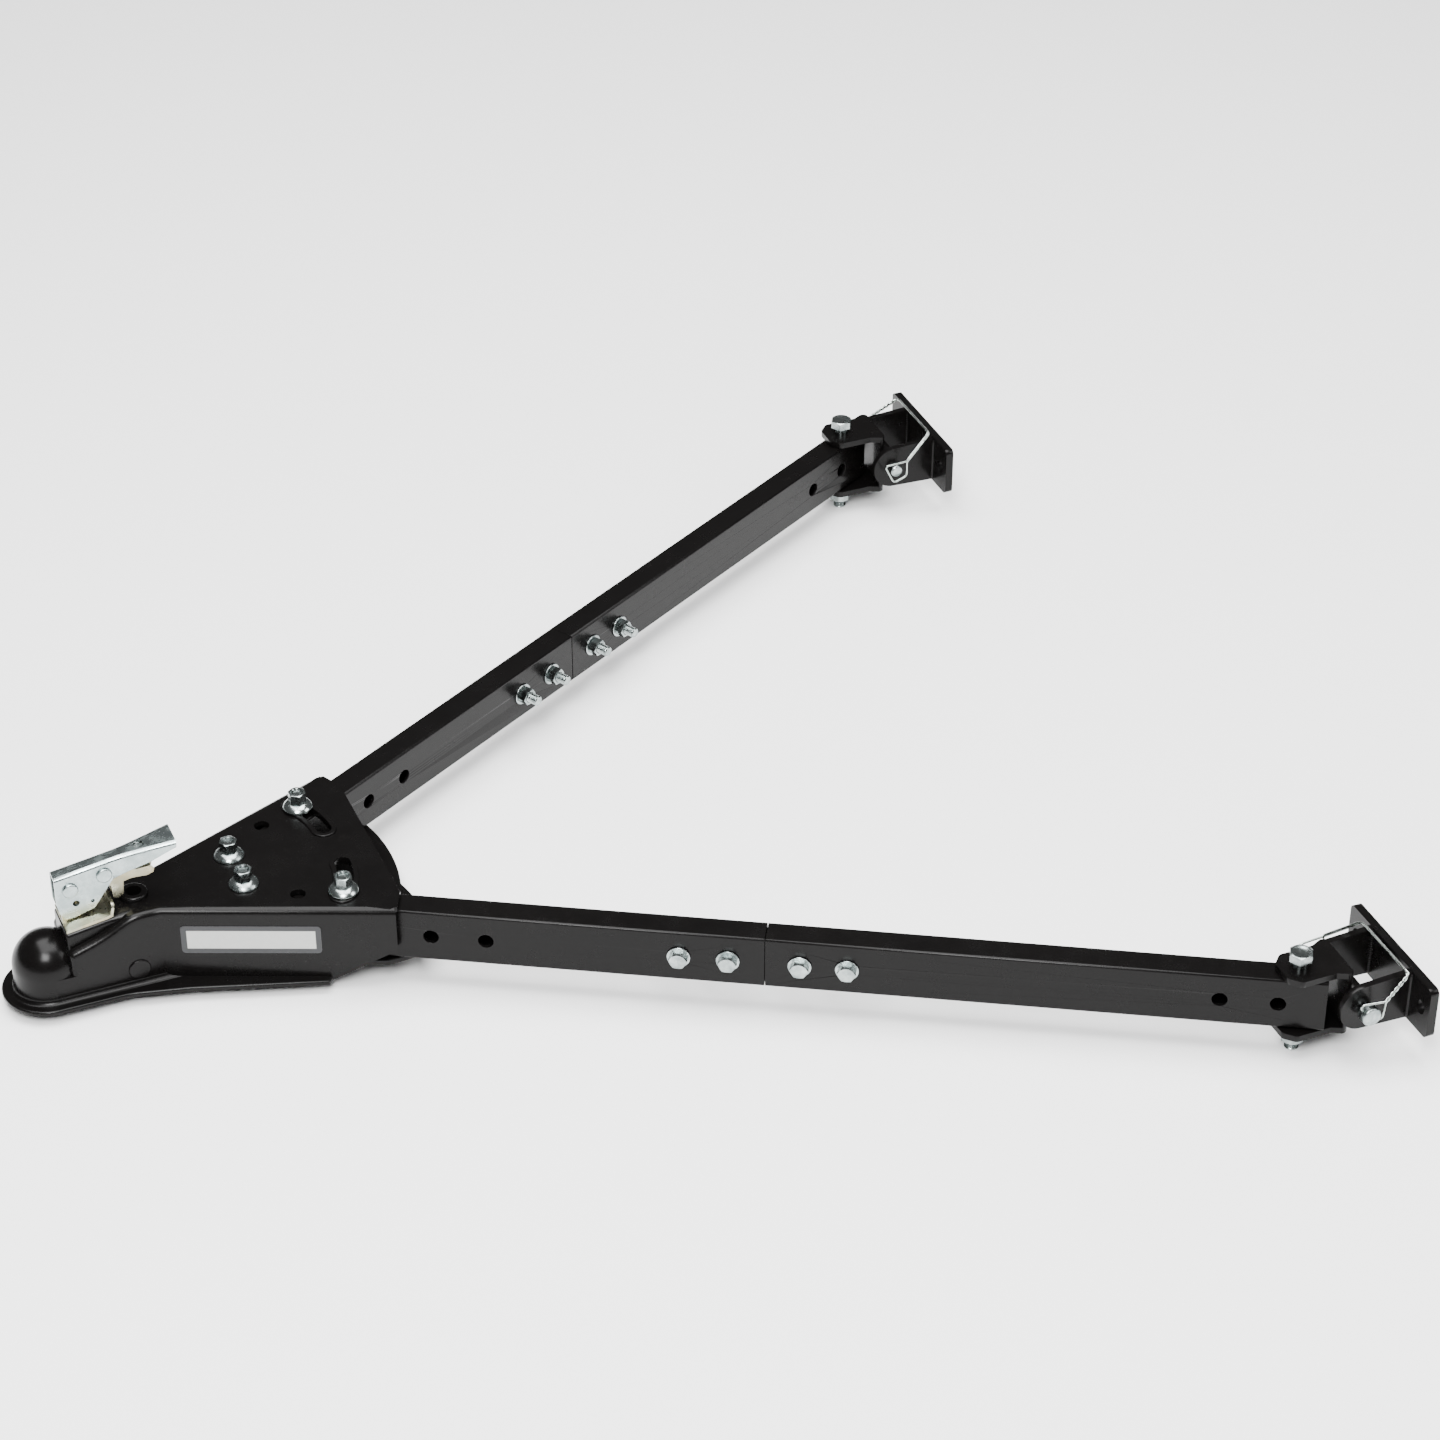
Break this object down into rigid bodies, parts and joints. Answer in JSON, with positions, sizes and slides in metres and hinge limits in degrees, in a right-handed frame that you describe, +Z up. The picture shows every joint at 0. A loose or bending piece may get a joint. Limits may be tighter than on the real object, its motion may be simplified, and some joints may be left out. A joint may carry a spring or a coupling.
{
  "type": "adjustable tow bar",
  "caption": "Adjustable A-frame tow bar: latching ball coupler head, swinging bolted tube arms, and swivelling mounting brackets held by headed pins with wire clips.",
  "frame": {"origin": "under the middle of the whole bar, on the surface that it stands on", "axes": "+X from the coupler back to the towed vehicle, +Y to the right-hand bracket, +Z up"},
  "size_m": [1.0984, 1.077, 0.1435],
  "materials": {
    "powder_coat": "semi-gloss black powder coat",
    "zinc": "bright zinc plate",
    "latch_zinc": "bright zinc plate",
    "yellow_zinc": "pale yellow zinc plate",
    "spring_steel": "plated spring wire",
    "cast_steel": "dark cast steel",
    "label": "blank printed plate"
  },
  "bodies": {
    "head": {"coupler_shell": "powder_coat", "head_floor_plate": "powder_coat", "side_labels": "label", "latch_bracket": "yellow_zinc", "lever_rivet": "latch_zinc", "clamp_pivot_pin": "powder_coat", "pivot_bolts": "zinc", "pivot_domed_washers": "zinc", "pivot_nuts": "zinc", "pivot_washers": "zinc"},
    "lever": {"latch_lever": "latch_zinc", "trigger_rivet": "latch_zinc", "trigger_spring": "spring_steel"},
    "trigger": {"latch_trigger": "yellow_zinc"},
    "stud": {"clamp_stud": "zinc"},
    "clamp": {"ball_clamp": "cast_steel"},
    "left_arm": {"left_front_tube": "powder_coat", "left_rear_tube": "powder_coat", "left_splice_sleeve": "powder_coat", "left_splice_bolts": "zinc", "left_splice_washers": "zinc", "left_splice_nuts": "zinc", "left_slot_bolt": "zinc", "left_slot_domed_washer": "zinc", "left_slot_nut": "zinc", "left_slot_washer": "zinc"},
    "left_swivel": {"left_yoke": "powder_coat", "left_clevis_bolt": "zinc", "left_clevis_washer": "zinc", "left_clevis_nut": "zinc"},
    "left_foot": {"left_mount_bracket": "powder_coat", "left_hitch_pin": "zinc"},
    "left_clip": {"left_wire_clip": "spring_steel"},
    "right_arm": {"right_front_tube": "powder_coat", "right_rear_tube": "powder_coat", "right_splice_sleeve": "powder_coat", "right_splice_bolts": "zinc", "right_splice_washers": "zinc", "right_splice_nuts": "zinc", "right_slot_bolt": "zinc", "right_slot_domed_washer": "zinc", "right_slot_nut": "zinc", "right_slot_washer": "zinc"},
    "right_swivel": {"right_yoke": "powder_coat", "right_clevis_bolt": "zinc", "right_clevis_washer": "zinc", "right_clevis_nut": "zinc"},
    "right_foot": {"right_mount_bracket": "powder_coat", "right_hitch_pin": "zinc"},
    "right_clip": {"right_wire_clip": "spring_steel"}
  },
  "joints": [
    {"name": "latch_lift", "type": "hinge", "parent": "head", "child": "lever", "pos_m": [-0.48196, 0, 0.1135], "axis": [0, -1, 0], "range_deg": [0, 70]},
    {"name": "trigger_squeeze", "type": "hinge", "parent": "lever", "child": "trigger", "pos_m": [-0.45156, 0, 0.1211], "axis": [0, -1, 0], "range_deg": [0, 12], "stiffness_Nm_per_rad": 0.1, "springref_deg": -11.46},
    {"name": "stud_travel", "type": "slide", "parent": "head", "child": "stud", "axis": [0, 0, -1], "range_m": [0, 0.005]},
    {"name": "clamp_open", "type": "hinge", "parent": "head", "child": "clamp", "pos_m": [-0.43446, 0, 0.03], "axis": [0, -1, 0], "range_deg": [0, 12]},
    {"name": "left_arm_swing", "type": "hinge", "parent": "head", "child": "left_arm", "pos_m": [-0.33447, -0.022, 0.055], "axis": [0, 0, -1], "range_deg": [-23, 0]},
    {"name": "left_bracket_swivel", "type": "hinge", "parent": "left_arm", "child": "left_swivel", "pos_m": [0.45216, -0.47251, 0.055], "axis": [0, 0, 1], "range_deg": [-40, 40]},
    {"name": "left_bracket_tilt", "type": "hinge", "parent": "left_swivel", "child": "left_foot", "pos_m": [0.49667, -0.47251, 0.055], "axis": [0, -1, 0], "range_deg": [-45, 60]},
    {"name": "left_clip_swing", "type": "hinge", "parent": "left_foot", "child": "left_clip", "pos_m": [0.49667, -0.51751, 0.055], "axis": [0.7431, 0, -0.6691], "range_deg": [0, 110]},
    {"name": "right_arm_swing", "type": "hinge", "parent": "head", "child": "right_arm", "pos_m": [-0.33447, 0.022, 0.055], "axis": [0, 0, 1], "range_deg": [-23, 0]},
    {"name": "right_bracket_swivel", "type": "hinge", "parent": "right_arm", "child": "right_swivel", "pos_m": [0.45216, 0.47251, 0.055], "axis": [0, 0, 1], "range_deg": [-40, 40]},
    {"name": "right_bracket_tilt", "type": "hinge", "parent": "right_swivel", "child": "right_foot", "pos_m": [0.49667, 0.47251, 0.055], "axis": [0, -1, 0], "range_deg": [-45, 60]},
    {"name": "right_clip_swing", "type": "hinge", "parent": "right_foot", "child": "right_clip", "pos_m": [0.49667, 0.51751, 0.055], "axis": [-0.7071, 0, 0.7071], "range_deg": [0, 110]}
  ],
  "couplings": [
    {"joint": "clamp_open", "follows": "latch_lift", "ratio": 0.1714},
    {"joint": "stud_travel", "follows": "latch_lift", "m_per_rad": 0.00409}
  ]
}
